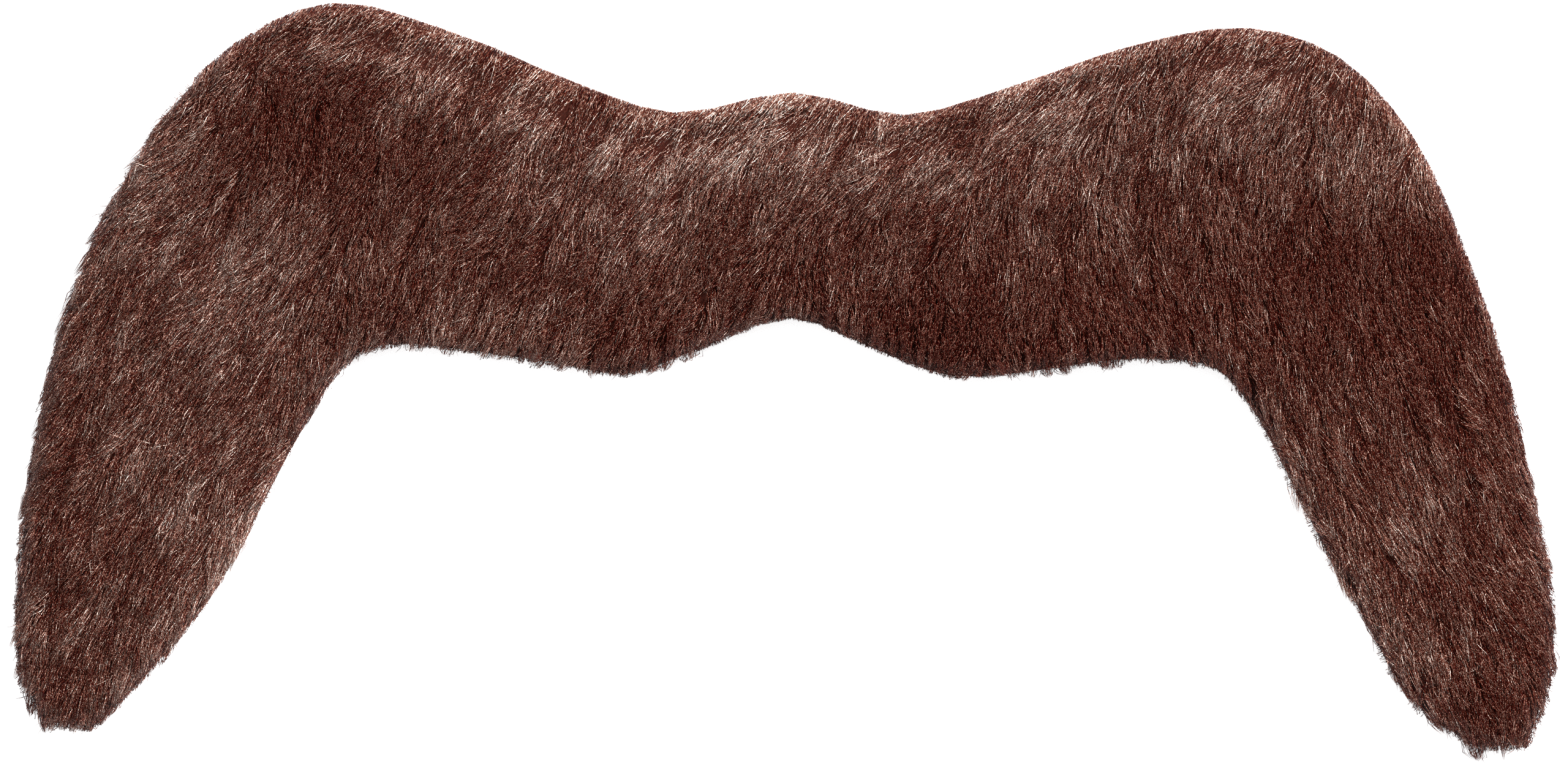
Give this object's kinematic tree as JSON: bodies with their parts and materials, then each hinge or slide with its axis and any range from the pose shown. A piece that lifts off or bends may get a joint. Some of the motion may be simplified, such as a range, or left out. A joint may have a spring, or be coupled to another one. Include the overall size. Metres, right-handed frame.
{
  "type": "false moustache",
  "caption": "Stick-on false moustache of short brown plush, a wide horseshoe whose legs hang past the corners of the mouth, with an adhesive back.",
  "frame": {"origin": "on the adhesive's face, in the middle of the stretch over the upper lip", "axes": "+X along the width, to the viewer's right; +Y towards the nose; +Z out of the face, towards the fur's tips"},
  "size_m": [0.1409, 0.068, 0.0077],
  "materials": {
    "adhesive": "satin film",
    "backing": "knitted ground",
    "fur": "combed plush"
  },
  "bodies": {
    "root": {"adhesive_sheet": "adhesive", "backing_cloth": "backing", "fur_pile": "fur"}
  },
  "joints": []
}
